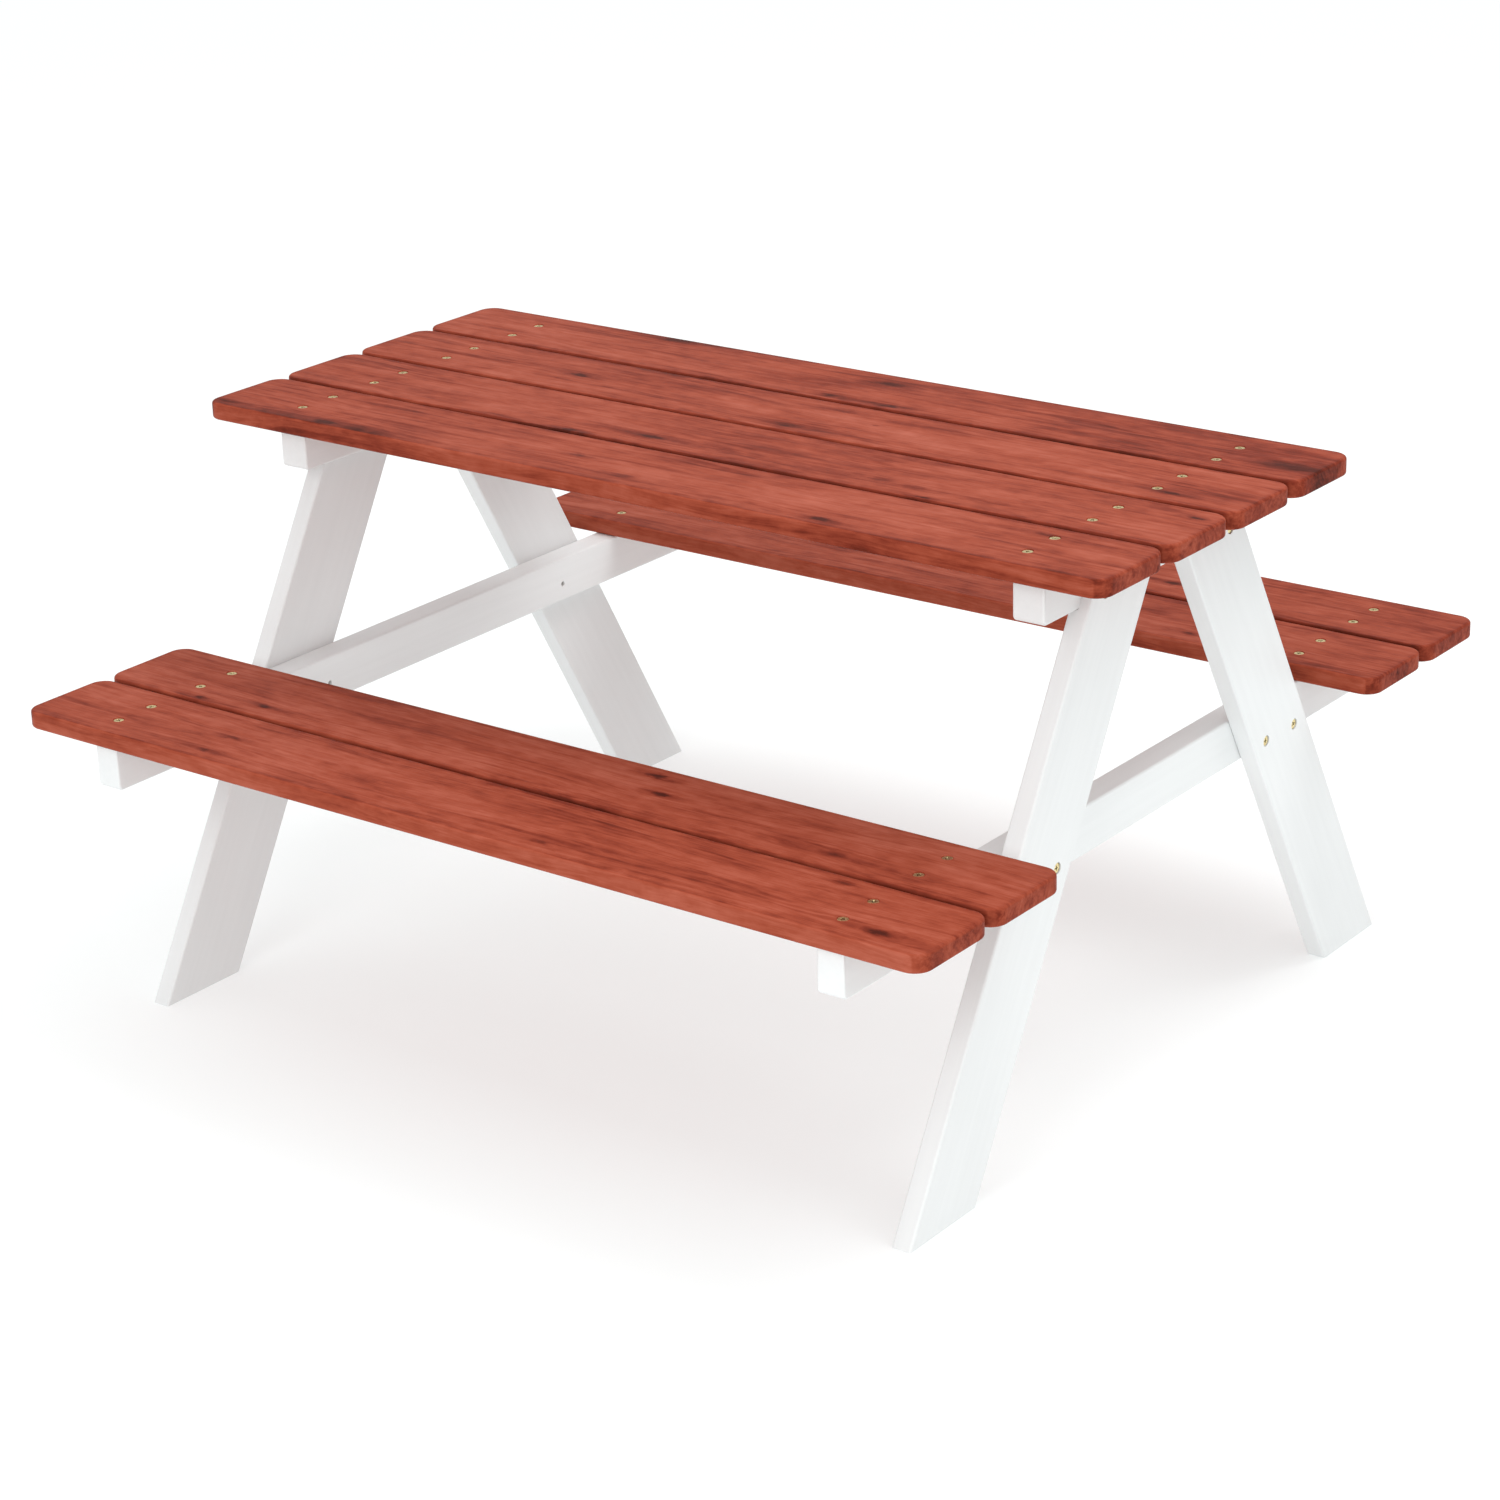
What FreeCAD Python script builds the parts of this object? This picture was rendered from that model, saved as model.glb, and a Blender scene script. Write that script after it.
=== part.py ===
import FreeCAD, Part
import math
import os

# Child-size picnic table: a plank tabletop and two plank benches, carried by two A-frames.
# Lengths are millimetres. X runs along the planks, Y from the front bench to the rear bench, Z up.
# The origin is on the floor, under the centre of the tabletop.
# Every piece is a solid of its own: planks, cleats, seat beams, legs and screws.

# ---- driving dimensions ------------------------------------------------------------------------

# Planks of the tabletop and the benches
TABLETOP_LENGTH = 890.0
BENCH_LENGTH = 890.0
PLANK_WIDTH = 90.0
PLANK_THICKNESS = 15.0
PLANK_GAP = 4.0
PLANK_CORNER_RADIUS = 15.0      # seen from above, at the plank's four corners
PLANK_EDGE_RADIUS = 2.5         # round-over along the upper and lower edges

# Where the planks lie
TABLETOP_HEIGHT = 480.0
BENCH_HEIGHT = 275.0
BENCH_CLEARANCE = 24.36         # from the leg's outer edge, under the bench, to the bench's near edge

# Legs
LEG_INSET = 55.0                # from the end of the shorter planks to the legs' outer faces
LEG_THICKNESS = 17.0
LEG_WIDTH = 76.0                # across the leg, square to its length
LEG_FOOT_OFFSET = 313.0         # from the middle of the table to the leg's centre line, on the floor
LEG_TOP_CLEARANCE = 8.42        # from the middle of the table to the leg's inner edge, at the tabletop

# Cleats under the tabletop, let into the inner faces of the legs
CLEAT_THICKNESS = 28.0
CLEAT_DEPTH = 38.0
CLEAT_SETBACK = 23.0            # from the edge of the tabletop to the end of the cleat
CLEAT_HOUSING = 8.0             # how far the cleat is let into the leg

# Seat beams, lapped against the inner faces of the legs
BEAM_THICKNESS = 24.0
BEAM_DEPTH = 40.0
BEAM_SETBACK = 10.0             # from the outer edge of the bench to the end of the beam

TIMBER_EDGE_RADIUS = 2.0        # eased edges of legs, cleats and beams
BEAM_END_RADIUS = 4.0           # rounded lower corners at the ends of cleats and beams
FOOT_EDGE_RADIUS = 1.0

# Screws
SHANK_DIAMETER = 4.5
HEAD_DIAMETER = 9.0
TIP_LENGTH = 4.0
RECESS_SPAN = 5.6               # cross recess, across its wings
RECESS_WING = 1.1
RECESS_DEPTH = 1.7
RECESS_TURN = 37.0              # each screw stops at another angle, this many degrees on

PLANK_SCREW_SPACING = 37.0      # across a plank
PLANK_SCREW_SETBACK = 12.0      # from the legs' inner faces to the row of screws
PLANK_SCREW_BITE = 22.0         # how far a plank's screw reaches into the timber below
OUTER_SCREW_SHIFT = 5.0         # from the middle of an outer tabletop plank, away from the cleat's end
HEAD_SINK = 0.5                 # countersunk heads lie this far below the plank's surface

LEG_SCREW_SPACING = 46.0        # across a leg
LEG_HEAD_THICKNESS = 2.2
LEG_HEAD_SINK = 1.0             # cylinder heads lie this far below the leg's outer face
BEAM_SCREW_RISE = 16.0          # above the lower face of the seat beam
CLEAT_SCREW_RISE = 8.0          # above the lower face of the cleat
TIP_COVER = 3.0                 # timber left in front of a leg screw's tip

HOLE_CLEARANCE = 0.1            # between a screw's shank and its hole, on the radius
HEAD_CLEARANCE = 0.15           # between a screw's head and the wood around it, on the radius

# ---- places that follow from them --------------------------------------------------------------

PLANK_PITCH = PLANK_WIDTH + PLANK_GAP
TABLETOP_UNDERSIDE = TABLETOP_HEIGHT - PLANK_THICKNESS
TABLETOP_HALF_WIDTH = 2 * PLANK_WIDTH + 1.5 * PLANK_GAP
BENCH_UNDERSIDE = BENCH_HEIGHT - PLANK_THICKNESS

# The frames carry the tabletop and the benches, so they stand in from the ends of the shorter planks.
LEG_OUTER_X = min(TABLETOP_LENGTH, BENCH_LENGTH) / 2 - LEG_INSET
LEG_INNER_X = LEG_OUTER_X - LEG_THICKNESS
# The lean that brings the inner edge of a leg of this width to its place at the tabletop
LEG_RUN = LEG_FOOT_OFFSET - LEG_TOP_CLEARANCE
LEG_LEAN = (math.acos(LEG_WIDTH / 2 / math.hypot(LEG_RUN, TABLETOP_UNDERSIDE))
            - math.atan2(TABLETOP_UNDERSIDE, LEG_RUN))
LEG_HALF_SPAN = LEG_WIDTH / 2 / math.cos(LEG_LEAN)      # half the leg's width, measured along Y

LEG_REACH = LEG_FOOT_OFFSET - BENCH_UNDERSIDE * math.tan(LEG_LEAN) + LEG_HALF_SPAN     # under the bench
BENCH_INNER_REACH = LEG_REACH + BENCH_CLEARANCE         # from the table's middle to a bench's near edge
BENCH_OUTER_REACH = BENCH_INNER_REACH + 2 * PLANK_WIDTH + PLANK_GAP

CLEAT_BOTTOM = TABLETOP_UNDERSIDE - CLEAT_DEPTH
CLEAT_OUTER_X = LEG_INNER_X + CLEAT_HOUSING
CLEAT_HALF_LENGTH = TABLETOP_HALF_WIDTH - CLEAT_SETBACK
BEAM_BOTTOM = BENCH_UNDERSIDE - BEAM_DEPTH
BEAM_HALF_LENGTH = BENCH_OUTER_REACH - BEAM_SETBACK

PLANK_SCREW_X = LEG_INNER_X - PLANK_SCREW_SETBACK
PLANK_SCREW_LENGTH = PLANK_THICKNESS + PLANK_SCREW_BITE - HEAD_SINK
LEG_SEAT_DEPTH = LEG_HEAD_SINK + LEG_HEAD_THICKNESS      # counterbore, below the leg's outer face
BEAM_SCREW_Z = BEAM_BOTTOM + BEAM_SCREW_RISE
BEAM_SCREW_LENGTH = LEG_THICKNESS + BEAM_THICKNESS - LEG_HEAD_SINK - TIP_COVER
CLEAT_SCREW_Z = CLEAT_BOTTOM + CLEAT_SCREW_RISE
CLEAT_SCREW_LENGTH = LEG_OUTER_X - (CLEAT_OUTER_X - CLEAT_THICKNESS) - LEG_HEAD_SINK - TIP_COVER

HOLE_RADIUS = SHANK_DIAMETER / 2 + HOLE_CLEARANCE
SEAT_RADIUS = HEAD_DIAMETER / 2 + HEAD_CLEARANCE

UP = FreeCAD.Vector(0, 0, 1)
LENGTHWAYS = FreeCAD.Vector(1, 0, 0)
CROSSWAYS = FreeCAD.Vector(0, 1, 0)
ORIGIN = FreeCAD.Vector(0, 0, 0)
SIDES = {"left": -1, "right": 1}         # the sign of X
BANKS = {"front": -1, "rear": 1}         # the sign of Y
TABLETOP_PLANKS = {"front_outer": -1.5, "front_inner": -0.5, "rear_inner": 0.5, "rear_outer": 1.5}
BENCH_PLANKS = {"inner": 0, "outer": 1}


# ---- small helpers -----------------------------------------------------------------------------

def write(node, shape):
    """Write one node's STEP file."""
    if shape.isNull() or not shape.isValid() or shape.Volume <= 0:
        raise ValueError("bad shape for " + node)
    shape.exportStep(os.path.join("parts", node + ".step"))


def block(x_low, x_high, y_low, y_high, z_low, z_high):
    """Make a box from its limits."""
    corner = FreeCAD.Vector(x_low, y_low, z_low)
    return Part.makeBox(x_high - x_low, y_high - y_low, z_high - z_low, corner)


def direction(edge):
    """Return a straight edge's unit direction."""
    return (edge.Vertexes[-1].Point - edge.Vertexes[0].Point).normalize()


def edges_along(shape, axis):
    """Return the straight edges that run along an axis."""
    return [edge for edge in shape.Edges if abs(abs(direction(edge).dot(axis)) - 1) < 1e-6]


def rim(shape, level):
    """Return the edges that lie at one height."""
    return [edge for edge in shape.Edges
            if abs(edge.BoundBox.ZMin - level) < 1e-6 and abs(edge.BoundBox.ZMax - level) < 1e-6]


def to_corner(shape, side, bank):
    """Mirror a piece made for the right rear corner to another corner."""
    if side < 0:
        shape = shape.mirror(ORIGIN, LENGTHWAYS)
    if bank < 0:
        shape = shape.mirror(ORIGIN, CROSSWAYS)
    return shape


# ---- screws and the holes for them -------------------------------------------------------------
# Each is made pointing down, with its head's top, or the wood's surface, at Z = 0.

def shank(length):
    """Make a shank of the given length below Z = 0, with a pointed tip."""
    radius = SHANK_DIAMETER / 2
    straight = Part.makeCylinder(radius, length - TIP_LENGTH, FreeCAD.Vector(0, 0, TIP_LENGTH - length))
    tip = Part.makeCone(0, radius, TIP_LENGTH, FreeCAD.Vector(0, 0, -length))
    return straight.fuse(tip)


def cross_recess(turn):
    """Make the tapered cross that is cut into a head."""
    half = RECESS_SPAN / 2
    outline = [(-half, RECESS_DEPTH), (half, RECESS_DEPTH), (half, 0), (half / 3, -RECESS_DEPTH),
               (-half / 3, -RECESS_DEPTH), (-half, 0)]
    points = [FreeCAD.Vector(x, -RECESS_WING / 2, z) for x, z in outline]
    wing = Part.Face(Part.makePolygon(points + points[:1])).extrude(CROSSWAYS * RECESS_WING)
    other = wing.copy()
    other.rotate(ORIGIN, UP, 90)
    cross = wing.fuse(other)
    cross.rotate(ORIGIN, UP, turn)
    return cross


def countersunk_screw(length, turn):
    """Make a countersunk screw: a 90 degree head, a shank and a tip."""
    drop = (HEAD_DIAMETER - SHANK_DIAMETER) / 2
    head = Part.makeCone(SHANK_DIAMETER / 2, HEAD_DIAMETER / 2, drop, FreeCAD.Vector(0, 0, -drop))
    return head.fuse(shank(length)).removeSplitter().cut(cross_recess(turn))


def cylinder_head_screw(length, turn):
    """Make a screw with a flat cylinder head, which sits on the floor of a counterbore."""
    base = FreeCAD.Vector(0, 0, -LEG_HEAD_THICKNESS)
    head = Part.makeCylinder(HEAD_DIAMETER / 2, LEG_HEAD_THICKNESS, base)
    return head.fuse(shank(length)).removeSplitter().cut(cross_recess(turn))


def hole(depth):
    """Make the plain hole for a shank, starting a little above the surface."""
    return Part.makeCylinder(HOLE_RADIUS, depth + 1, FreeCAD.Vector(0, 0, -depth))


def countersink():
    """Make the countersink for a head that lies just below the surface."""
    drop = SEAT_RADIUS - HOLE_RADIUS
    cone = Part.makeCone(HOLE_RADIUS, SEAT_RADIUS, drop, FreeCAD.Vector(0, 0, -HEAD_SINK - drop))
    mouth = Part.makeCylinder(SEAT_RADIUS, HEAD_SINK + 1, FreeCAD.Vector(0, 0, -HEAD_SINK))
    return cone.fuse(mouth)


def counterbore():
    """Make the flat seat that is sunk into a leg's outer face."""
    return Part.makeCylinder(SEAT_RADIUS, LEG_SEAT_DEPTH + 1, FreeCAD.Vector(0, 0, -LEG_SEAT_DEPTH))


def set_down(shape, x, y, z):
    """Place a screw or a hole that points down."""
    placed = shape.copy()
    placed.translate(FreeCAD.Vector(x, y, z))
    return placed


def set_in_leg(shape, y, z, sink=0.0):
    """Place a screw or a hole that goes into a right-hand leg from its outer face."""
    placed = shape.copy()
    placed.rotate(ORIGIN, CROSSWAYS, 90)
    placed.translate(FreeCAD.Vector(LEG_OUTER_X - sink, y, z))
    return placed


# ---- where the screws go -----------------------------------------------------------------------

def pair(middle, spacing):
    """Return two places on either side of a middle."""
    return [middle - spacing / 2, middle + spacing / 2]


def tabletop_plank_middle(step):
    return step * PLANK_PITCH


def bench_plank_middle(step):
    return BENCH_INNER_REACH + PLANK_WIDTH / 2 + step * PLANK_PITCH


def tabletop_plank_screws(step):
    """Return the two Y places of the screws in one tabletop plank."""
    shift = math.copysign(OUTER_SCREW_SHIFT, step) if abs(step) > 1 else 0
    return pair(tabletop_plank_middle(step) - shift, PLANK_SCREW_SPACING)


def bench_plank_screws(step):
    """Return the two Y places of the screws in one plank of the rear bench."""
    return pair(bench_plank_middle(step), PLANK_SCREW_SPACING)


def leg_middle(z):
    """Return the Y place of a rear leg's centre line at a height."""
    return LEG_FOOT_OFFSET - z * math.tan(LEG_LEAN)


def leg_screw_rows(z):
    """Return the two Y places of the screws across a rear leg at a height."""
    return pair(leg_middle(z), LEG_SCREW_SPACING)


def tabletop_screw_rows():
    return [y for step in TABLETOP_PLANKS.values() for y in tabletop_plank_screws(step)]


def bench_screw_rows():
    return [y for step in BENCH_PLANKS.values() for y in bench_plank_screws(step)]


# ---- pieces ------------------------------------------------------------------------------------

def plank(length, middle, top, screw_rows):
    """Make one plank with rounded corners and edges and its countersunk holes."""
    half = PLANK_WIDTH / 2
    bottom = top - PLANK_THICKNESS
    board = block(-length / 2, length / 2, middle - half, middle + half, bottom, top)
    board = board.makeFillet(PLANK_CORNER_RADIUS, edges_along(board, UP))
    board = board.makeFillet(PLANK_EDGE_RADIUS, rim(board, top) + rim(board, bottom))
    drill = hole(PLANK_THICKNESS + 1).fuse(countersink())
    cuts = [set_down(drill, side * PLANK_SCREW_X, y, top)
            for side in SIDES.values() for y in screw_rows]
    return board.cut(cuts)


def crosspiece(outer_x, thickness, half_length, top, depth):
    """Make the bare bar of a right-hand cleat or seat beam, with its edges eased."""
    bar = block(outer_x - thickness, outer_x, -half_length, half_length, top - depth, top)
    lower_ends = [edge for edge in edges_along(bar, LENGTHWAYS)
                  if abs(edge.BoundBox.ZMin - (top - depth)) < 1e-6]
    bar = bar.makeFillet(BEAM_END_RADIUS, lower_ends)
    side_edges = [edge for edge in bar.Edges if abs(edge.BoundBox.XMax - edge.BoundBox.XMin) < 1e-6]
    return bar.makeFillet(TIMBER_EDGE_RADIUS, side_edges)


def cleat():
    """Make the right-hand cleat, with pilot holes from above and from the legs."""
    bar = crosspiece(CLEAT_OUTER_X, CLEAT_THICKNESS, CLEAT_HALF_LENGTH, TABLETOP_UNDERSIDE, CLEAT_DEPTH)
    plank_pilot = hole(PLANK_SCREW_BITE + 1)
    cuts = [set_down(plank_pilot, PLANK_SCREW_X, y, TABLETOP_UNDERSIDE) for y in tabletop_screw_rows()]
    leg_pilot = hole(LEG_OUTER_X - CLEAT_OUTER_X + CLEAT_THICKNESS + 1)
    for y in leg_screw_rows(CLEAT_SCREW_Z):
        cuts += [set_in_leg(leg_pilot, bank * y, CLEAT_SCREW_Z) for bank in BANKS.values()]
    return bar.cut(cuts)


def seat_beam():
    """Make the right-hand seat beam, with pilot holes from above and from the legs."""
    bar = crosspiece(LEG_INNER_X, BEAM_THICKNESS, BEAM_HALF_LENGTH, BENCH_UNDERSIDE, BEAM_DEPTH)
    plank_pilot = hole(PLANK_SCREW_BITE + 1)
    leg_pilot = hole(LEG_THICKNESS + BEAM_THICKNESS + 1)
    cuts = []
    for bank in BANKS.values():
        cuts += [set_down(plank_pilot, PLANK_SCREW_X, bank * y, BENCH_UNDERSIDE)
                 for y in bench_screw_rows()]
        cuts += [set_in_leg(leg_pilot, bank * y, BEAM_SCREW_Z) for y in leg_screw_rows(BEAM_SCREW_Z)]
    return bar.cut(cuts)


def leg():
    """Make the right rear leg: a leaning plank, cut level at both ends and housed for the cleat."""
    foot = leg_middle(0)
    head = leg_middle(TABLETOP_UNDERSIDE)
    outline = [(foot - LEG_HALF_SPAN, 0), (foot + LEG_HALF_SPAN, 0),
               (head + LEG_HALF_SPAN, TABLETOP_UNDERSIDE), (head - LEG_HALF_SPAN, TABLETOP_UNDERSIDE)]
    points = [FreeCAD.Vector(LEG_INNER_X, y, z) for y, z in outline]
    timber = Part.Face(Part.makePolygon(points + points[:1])).extrude(LENGTHWAYS * LEG_THICKNESS)
    grain = FreeCAD.Vector(0, -math.sin(LEG_LEAN), math.cos(LEG_LEAN))
    timber = timber.makeFillet(TIMBER_EDGE_RADIUS, edges_along(timber, grain))
    timber = timber.makeFillet(FOOT_EDGE_RADIUS, rim(timber, 0))
    housing = block(LEG_INNER_X - 1, CLEAT_OUTER_X, -CLEAT_HALF_LENGTH, CLEAT_HALF_LENGTH,
                    CLEAT_BOTTOM, TABLETOP_UNDERSIDE + 1)
    drill = hole(LEG_THICKNESS + 1).fuse(counterbore())
    cuts = [housing]
    for z in (BEAM_SCREW_Z, CLEAT_SCREW_Z):
        cuts += [set_in_leg(drill, y, z) for y in leg_screw_rows(z)]
    return timber.cut(cuts)


# ---- groups of screws --------------------------------------------------------------------------

def plank_screws(x, rows, top):
    """Make the row of screws that holds planks at one end."""
    screws = []
    for index, y in enumerate(rows):
        screw = countersunk_screw(PLANK_SCREW_LENGTH, index * RECESS_TURN)
        screws.append(set_down(screw, x, y, top - HEAD_SINK))
    return Part.makeCompound(screws)


def leg_screws(z, length):
    """Make the pair of screws through the right rear leg at a height."""
    screws = []
    for index, y in enumerate(leg_screw_rows(z)):
        screw = cylinder_head_screw(length, index * RECESS_TURN)
        screws.append(set_in_leg(screw, y, z, LEG_HEAD_SINK))
    return Part.makeCompound(screws)


# ---- the whole table ---------------------------------------------------------------------------

def write_planks():
    for name, step in TABLETOP_PLANKS.items():
        board = plank(TABLETOP_LENGTH, tabletop_plank_middle(step), TABLETOP_HEIGHT,
                      tabletop_plank_screws(step))
        write("tabletop_plank_" + name, board)
    for bank_name, bank in BANKS.items():
        for name, step in BENCH_PLANKS.items():
            board = plank(BENCH_LENGTH, bank * bench_plank_middle(step), BENCH_HEIGHT,
                          [bank * y for y in bench_plank_screws(step)])
            write(bank_name + "_bench_plank_" + name, board)


def write_frames():
    right_leg = leg()
    right_cleat = cleat()
    right_beam = seat_beam()
    for side_name, side in SIDES.items():
        write(side_name + "_cleat", to_corner(right_cleat, side, 1))
        write(side_name + "_seat_beam", to_corner(right_beam, side, 1))
        for bank_name, bank in BANKS.items():
            write(side_name + "_" + bank_name + "_leg", to_corner(right_leg, side, bank))


def write_screws():
    beam_pair = leg_screws(BEAM_SCREW_Z, BEAM_SCREW_LENGTH)
    cleat_pair = leg_screws(CLEAT_SCREW_Z, CLEAT_SCREW_LENGTH)
    for side_name, side in SIDES.items():
        x = side * PLANK_SCREW_X
        write(side_name + "_tabletop_screws", plank_screws(x, tabletop_screw_rows(), TABLETOP_HEIGHT))
        for bank_name, bank in BANKS.items():
            corner = side_name + "_" + bank_name
            rows = [bank * y for y in bench_screw_rows()]
            write(corner + "_bench_screws", plank_screws(x, rows, BENCH_HEIGHT))
            write(corner + "_beam_screws", to_corner(beam_pair, side, bank))
            write(corner + "_cleat_screws", to_corner(cleat_pair, side, bank))


os.makedirs("parts", exist_ok=True)
write_planks()
write_frames()
write_screws()
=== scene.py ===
"""Child-size picnic table: red-stained plank tabletop and benches on two white A-frames.

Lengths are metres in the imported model's own frame: X along the planks, Y from the front bench to
the rear bench, Z up. The patterns in the finishes are worked out in millimetres.
"""

import logging
import math
from collections.abc import Iterable, Sequence
from dataclasses import dataclass, field
from enum import Enum

import bmesh
import bpy
from mathutils import Matrix, Vector


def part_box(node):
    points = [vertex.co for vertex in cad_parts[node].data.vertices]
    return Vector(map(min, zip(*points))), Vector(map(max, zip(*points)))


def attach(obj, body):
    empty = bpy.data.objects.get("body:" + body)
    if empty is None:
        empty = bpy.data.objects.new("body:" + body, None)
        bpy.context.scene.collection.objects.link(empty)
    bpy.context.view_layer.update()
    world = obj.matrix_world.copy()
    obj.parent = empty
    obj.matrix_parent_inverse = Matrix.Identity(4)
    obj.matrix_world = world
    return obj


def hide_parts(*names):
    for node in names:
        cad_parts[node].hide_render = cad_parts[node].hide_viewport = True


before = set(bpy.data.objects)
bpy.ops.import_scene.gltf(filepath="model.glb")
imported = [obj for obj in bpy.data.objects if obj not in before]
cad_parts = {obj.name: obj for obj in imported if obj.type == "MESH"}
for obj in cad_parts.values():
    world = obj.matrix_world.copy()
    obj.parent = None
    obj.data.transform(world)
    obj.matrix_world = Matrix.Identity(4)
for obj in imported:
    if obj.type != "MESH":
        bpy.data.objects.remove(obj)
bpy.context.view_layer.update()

LOG = logging.getLogger("picnic_table")
MM = 0.001
FULL_TURN = 2 * math.pi
SHARP_ANGLE = math.radians(35)      # sharper creases than this stay crisp
OVERRUN = 1 * MM                    # how far a cutting tool starts above the surface that it cuts
TOLERANCE = 1e-6                    # metres, within which two places are the same
BODY = "root"

Colour = tuple[float, float, float, float]
Point = tuple[float, float, float]


class Side(Enum):
    """An end of the table, as the sign of X."""

    LEFT = -1
    RIGHT = 1


class Bank(Enum):
    """A side of the table, as the sign of Y."""

    FRONT = -1
    REAR = 1


class Slot(Enum):
    """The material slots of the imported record."""

    STAIN = "red_stained_wood"
    PAINT = "white_painted_wood"
    PLATING = "plated_screw"


# ---- colours and nodes ----

def linear(code: str) -> Colour:
    """Turn an sRGB hex code into a linear colour.

    Args:
        code: six hex digits, with or without a leading hash.

    Returns:
        Red, green, blue and alpha, each from 0 to 1.
    """
    shares = [int(code.lstrip("#")[i:i + 2], 16) / 255 for i in (0, 2, 4)]
    red, green, blue = (s / 12.92 if s <= 0.04045 else ((s + 0.055) / 1.055) ** 2.4 for s in shares)
    return red, green, blue, 1.0


def add_node(tree: bpy.types.NodeTree, kind: str, inputs: dict[str | int, object] | None = None,
             ramp: Sequence[tuple[float, str]] = (), **settings: object) -> bpy.types.Node:
    """Add one node with its settings and links.

    Args:
        tree: the node tree that gets the node.
        kind: the node's type name.
        inputs: values for its inputs; a socket is linked, anything else is set.
        ramp: places and hex colours of a colour ramp's stops.
        settings: properties of the node itself.

    Returns:
        The new node.
    """
    node = tree.nodes.new(kind)
    for name, value in settings.items():
        setattr(node, name, value)
    for key, value in (inputs or {}).items():
        if isinstance(value, bpy.types.NodeSocket):
            tree.links.new(value, node.inputs[key])
        else:
            node.inputs[key].default_value = value
    for index, (place, code) in enumerate(ramp):
        stops = node.color_ramp.elements
        stop = stops[index] if index < len(stops) else stops.new(place)
        stop.position, stop.color = place, linear(code)
    return node


def new_material(name: str) -> tuple[bpy.types.Material, bpy.types.NodeTree]:
    """Make an empty node material.

    Args:
        name: the material's name.

    Returns:
        The material and its node tree.
    """
    material = bpy.data.materials.new(name)
    material.use_nodes = True
    material.node_tree.nodes.clear()
    return material, material.node_tree


@dataclass(frozen=True)
class Layer:
    """One layer of a finish's pattern: soft noise whose blotches have a real size."""

    size: Point             # how far apart the blotches are along X, Y and Z, in mm
    detail: float           # how many finer layers break them up
    weight: float = 0.0     # how much it adds to the finish
    roughness: float = 0.55  # how strong those finer layers are


def lay(tree: bpy.types.NodeTree, place: bpy.types.NodeSocket,
        layers: dict[str, Layer]) -> dict[str, bpy.types.Node]:
    """Lay a finish's layers.

    Args:
        tree: the node tree that gets the layers.
        place: where they are looked up, in mm.
        layers: the layers by name.

    Returns:
        The noise node of each layer by name.
    """
    nodes = {}
    for name, layer in layers.items():
        scaled = add_node(tree, "ShaderNodeVectorMath", {
            0: place, 1: tuple(1 / span for span in layer.size)}, operation="MULTIPLY").outputs[0]
        nodes[name] = add_node(tree, "ShaderNodeTexNoise", {
            "Vector": scaled, "Scale": 1.0, "Detail": layer.detail, "Roughness": layer.roughness})
    return nodes


# ---- finishes ----

@dataclass(frozen=True)
class Knot:
    """A knot in a plank, in millimetres from the plank's centre."""

    x: float
    y: float
    size: float = 4.0
    depth: float = 0.5      # how dark it is, from 0 to 1
    tail: float = 8.0       # how many times longer than wide its dark streak is


# Real fibres are finer than the last layer: it is as coarse as it needs to be to show.
STAIN_LAYERS = {
    "tone": Layer((420.0, 62.0, 62.0), 1.0, 0.60),
    "cloud": Layer((85.0, 25.0, 25.0), 2.0, 0.70),
    "mottle": Layer((17.0, 8.0, 8.0), 3.0, 0.46),
    "streak": Layer((100.0, 3.8, 3.8), 3.0, 0.36),
    "fibre": Layer((30.0, 1.3, 1.3), 2.0, 0.40),
    "band": Layer((240.0, 10.0, 10.0), 3.0)}
GRAIN_DRIFT = {"wander": Layer((230.0, 45.0, 45.0), 2.0), "ragged": Layer((9.0, 4.0, 4.0), 2.0)}
GRAIN_SWAY = (0.0, 26.0, 26.0)      # mm that the wandering moves the grain, at most
EDGE_SWAY = (14.0, 6.0, 0.0)        # mm that the raggedness moves a knot's outline, at most
BAND_WEIGHT = 0.26          # dark bands of the band layer's peaks
KNOT_WEIGHT = 1.1
KNOT_CORE_REACH = 2.4       # a knot's core is this many times longer than wide
KNOT_TAIL_WIDTH = 1.8       # its streak's width and weight next to the core's
KNOT_TAIL_WEIGHT = 0.6
KNOT_EDGE = (1.4, 0.1)      # it darkens from the first to the second of these many half widths
KNOT_PULL = -0.7            # how strongly the grain bends round a knot
RING_SPACING = 5.2          # mm from one yearly ring to the next
RING_SWAY = {"wander": 30.0, "ragged": 5.0}     # mm that each drift moves the rings, at most
RING_SHIFT = 17.0           # mm that they move the rings on average, which the pith follows
RING_WEIGHT = 0.03
END_WEIGHT = 0.12           # stain in the end grain, and in its rings
END_RING_WEIGHT = 0.04
GATHERED_WEIGHT = 0.24      # stain gathered just inside the long edges
GAP_EDGE_SHADE_WEIGHT = 0.3       # painted shade on an edge that faces a narrow gap
OPEN_EDGE_HIGHLIGHT_WEIGHT = -0.1     # painted highlight along an open edge
LEAST_DEPTH = -0.92         # brings the layers' sum down to where bright wood is 0


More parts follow.
